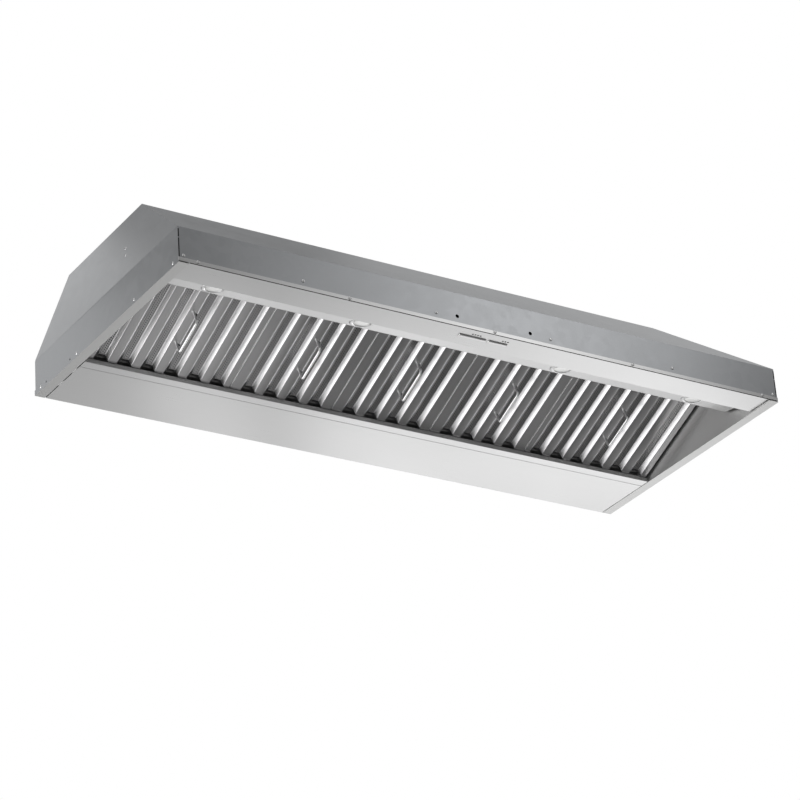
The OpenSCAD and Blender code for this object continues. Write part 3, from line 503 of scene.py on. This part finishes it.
# A pad of expanded aluminium lies on the back of each baffle sheet and catches the grease:
# slit and stretched into diamonds, so that its strands lean in and out.
def stretch_pad(width):
    """One pad in the filter's own frame, from a grid whose cells are turned to diamonds."""
    length = 267.6
    bpy.ops.object.select_all(action="DESELECT")
    bpy.ops.mesh.primitive_grid_add(
        x_subdivisions=round(width / 9), y_subdivisions=round(length / 6), size=1,
        location=(0, -135 * mm, 12.4 * mm))
    pad = bpy.context.object
    pad.scale = (width * mm, length * mm, 1)
    bpy.ops.object.transform_apply(location=True, rotation=True, scale=True)
    bpy.ops.object.mode_set(mode="EDIT")
    bpy.ops.mesh.select_all(action="SELECT")
    bpy.ops.mesh.poke(offset=1.2 * mm)
    pick_edges(pad, lambda a, b: abs(a.x - b.x) < 0.01 or abs(a.y - b.y) < 0.01)
    bpy.ops.mesh.dissolve_edges(use_verts=False)
    bpy.ops.object.mode_set(mode="OBJECT")
    apply_modifier(pad, "WIREFRAME", thickness=1.5 * mm, use_even_offset=False)
    return pad


pad_metal = moulded("aluminium_mesh", (0.55, 0.55, 0.56), 0.4, 900.0, Metallic=1.0)
wide_pad, narrow_pad = stretch_pad(331), stretch_pad(244)
for number, middle in enumerate(filter_middles, 1):
    place = filter_place @ Matrix.Translation((middle * mm, 0, 0))
    settle(wide_pad if number in (1, 5) else narrow_pad, "filter_%d_pad" % number, place,
           "filter_%d" % number, "aluminium_mesh", pad_metal, "filter_%d_mesh" % number)
for master in (wide_sheet, narrow_sheet, wide_pad, narrow_pad):
    bpy.data.objects.remove(master)


# The gutter collects the grease under the filters' lower ends. The ledge above it carries
# their tails, the channel in front takes their upper ends, and a flat panel closes the rear.
wear(strip_steel, "filter_ledge", "filter_channel")
eased_sheet("grease_gutter", "stainless_sheet", strip_steel, 1,
            (None, 452, 0), (None, 477, 0), (None, 452, 10))
eased_sheet("rear_panel", "stainless_sheet", strip_steel, 0.8, (None, 477.2, 0), (None, 635, 0))


# The blower stands behind the filters: a scroll housing with its outlet box, a motor on a
# three-armed bracket, a shaft and a wheel with curved blades.
wear(galvanised, "blower_housing", "blower_wheel", "motor_bracket")
motor_paint = moulded("motor_paint", (0.05, 0.055, 0.06), 0.4)
zinc_steel = brushed_steel("zinc_steel", (0.58, 0.585, 0.59), 0.06, 0.3, (500, 500, 500))
wear(motor_paint, "blower_motor")
wear(zinc_steel, "motor_shaft")


# The round collar takes the duct. Two half-round flaps swing up on one rod in it and fall
# shut. The junction box hangs under the top by the conduit hole.
wear(galvanised, "duct_collar", "front_flap", "rear_flap", "junction_box", "junction_cover")
wear(zinc_steel, "damper_rod")


# Pan-head screws with a cross recess hold the trim and the front wall. Blind rivets with
# their hollow middle hold the rails and the slopes.
rim_screw_z = 8.5
screw = turned([(2.1, -4.9), (2.1, 0.01), (3.5, 0.01), (3.45, 0.9), (3, 1.6), (2.2, 1.95),
                (1, 2)], 24)
for across, along in ((4.4, 1), (1, 4.4)):
    bpy.ops.object.select_all(action="DESELECT")
    bpy.ops.mesh.primitive_cube_add(size=mm, location=(0, 0, 1.7 * mm), scale=(across, along, 2))
    cut(screw, bpy.context.object)
facing = Matrix.Rotation(math.radians(90), 4, "X")
rim_places = [Matrix.Translation((x * mm, front_y * mm, rim_screw_z * mm)) @ facing
              for x in (0, 350, -350, 697, -697)]
wall_places = [Matrix.Translation((x * mm, (front_y + sheet) * mm, z * mm)) @ facing
               for x, z in ((141.5, 23.5), (-141.5, 23.5), (457, 23.5), (-457, 23.5),
                            (728, 17), (-728, 17))]
bright_screw = brushed_steel("bright_screw", (0.9, 0.9, 0.9), 0.04, 0.22, (500, 500, 500))
for heads, screws, places in (("rim_screw_heads", "rim_screws", rim_places),
                              ("wall_screw_heads", "wall_screws", wall_places)):
    settle_all(twin(screw, screws), heads, "hood", "zinc_steel", bright_screw, screws, places)
bpy.data.objects.remove(screw)
side_lean_in, side_rise = 85, 228
side_turn = math.atan2(side_lean_in, side_rise)
rivet_places = []
for side in (1, -1):
    flip = Matrix.Rotation(0 if side > 0 else math.pi, 4, "Z")
    outward = Matrix.Rotation(math.radians(90), 4, "Y")
    for y in (24, 187, 441, 607):
        rivet_places.append(Matrix.Translation((side * half_width * mm, (front_y + y) * mm,
                                                rim_screw_z * mm)) @ flip @ outward)
    for y, z in ((290, 187), (272, 160)):
        x = half_width - sheet / math.cos(side_turn) - (z - band_height) * math.tan(side_turn)
        rivet_places.append(Matrix.Translation((side * x * mm, (front_y + y) * mm, z * mm))
                            @ flip @ Matrix.Rotation(math.radians(90) - side_turn, 4, "Y"))
settle_all(turned([(1.6, -4.9), (1.6, 0.01), (3.2, 0.01), (3.1, 0.5), (2.6, 0.95), (1.9, 1.15),
                   (1.2, 1.1), (1.1, -3)], 24),
           "rivet_heads", "hood", "zinc_steel", bright_screw, "slope_rivets", rivet_places)


# The camera looks up at the underside from the front left.
lens = bpy.data.cameras.new("camera")
lens.lens = 142.9
lens.sensor_width = 36
lens.clip_end = 200
camera = bpy.data.objects.new("camera", lens)
bpy.context.collection.objects.link(camera)
right = Vector((0.84763683, -0.52644803, -0.06606268))
up = Vector((-0.18552404, -0.41073359, 0.89268065))
back = Vector((-0.49708413, -0.74441278, -0.44582169))
camera.matrix_world = (Matrix.Translation((-3.3964, -5.0322, -3.0236))
                       @ Matrix((right, up, back)).transposed().to_4x4())
bpy.context.scene.camera = camera


# The camera and clear glass see a white background. Metal shows the room round it: soft
# walls of light, two darker parts, and thirteen lamps set where the panels mirror them.
world = bpy.data.worlds.new("room")
bpy.context.scene.world = world
world.use_nodes = True
room = world.node_tree
room_shader = room.nodes["Background"]
room_shader.inputs["Color"].default_value = (1, 1, 1, 1)
ray = room.nodes.new("ShaderNodeLightPath")
seen = Value(room, ray.outputs["Is Camera Ray"])
to_white = seen.maths("MAXIMUM", seen, Value(room, ray.outputs["Is Transmission Ray"]))
direction = Value(room, room.nodes.new("ShaderNodeTexCoord").outputs["Generated"])


def lobe(towards, power):
    """1 in one direction of the room, less and less round it."""
    along = direction.node("ShaderNodeVectorMath", {"operation": "DOT_PRODUCT"},
                           {0: direction, 1: Vector(towards).normalized()}, out=1)
    return along.maths("POWER", along.maths("MAXIMUM", along, 0.0), power)


level = 0.18
for towards, power, strength in (((0.5, 0.84, -0.2), 50, 0.58), ((0, 0, 1), 3, 0.7),
                                  ((-1, 0, 0), 3, 0.66), ((0.843, 0.406, -0.351), 40, 3.0)):
    level = lobe(towards, power) * strength + level
for towards, power, strength in (((0.517, 0.635, 0.574), 12, 0.5),
                                  ((0.497, 0.196, -0.844), 14, 0.6)):
    level = level * (1 - lobe(towards, power) * strength)
(to_white * (1 - level) + level).to(room_shader, "Strength")

for name, place, aim, size, radiance in (
        ("rear_lamp_left", (0.07, 1.49, -0.72), (-0.60, 0.23, 0.00), 0.7, 0.30),
        ("filter_lamp", (-0.09, 0.25, -1.00), (-0.60, 0.01, 0.06), 0.5, 0.36),
        ("front_lamp_left", (0.59, -1.48, 0.80), (-0.20, -0.32, 0.04), 0.7, 0.52),
        ("rear_lamp_middle", (0.55, 1.46, -0.71), (-0.20, 0.23, 0.00), 0.7, 0.42),
        ("front_lamp_right", (1.06, -1.45, 0.78), (0.20, -0.32, 0.04), 0.7, 0.87),
        ("rear_lamp_right", (1.02, 1.43, -0.69), (0.20, 0.23, 0.00), 0.7, 0.52),
        ("strip_lamp_middle", (1.38, 1.29, -0.99), (0.20, -0.27, 0.00), 0.9, 0.45),
        ("strip_lamp_right", (1.87, 1.24, -0.96), (0.60, -0.27, 0.00), 0.9, 0.66),
        ("side_lamp", (-1.14, 1.03, 0.51), (-0.74, 0.23, 0.04), 0.4, 0.53),
        ("slope_lamp", (-0.68, 1.02, 0.80), (-0.69, 0.23, 0.18), 0.4, 0.5),
        ("channel_lamp_left", (-2.48, 0.82, -0.76), (-0.60, 0.01, 0.06), 1.3, 1.15),
        ("channel_lamp", (-1.28, 0.82, -0.76), (0.60, 0.01, 0.06), 1.7, 1.38),
        ("slope_lamp_right", (1.80, 1.40, 1.60), (0.50, -0.20, 0.17), 1.4, 0.4)):
    soft_lamp = bpy.data.lights.new(name, "AREA")
    soft_lamp.shape = "SQUARE"
    soft_lamp.size = size
    soft_lamp.energy = radiance * math.pi * size * size
    stand = bpy.data.objects.new(name, soft_lamp)
    bpy.context.collection.objects.link(stand)
    turn = (Vector(place) - Vector(aim)).to_track_quat("Z", "Y")
    stand.matrix_world = Matrix.Translation(place) @ turn.to_matrix().to_4x4()
    stand.visible_camera = False

bpy.context.scene.view_settings.view_transform = "Standard"
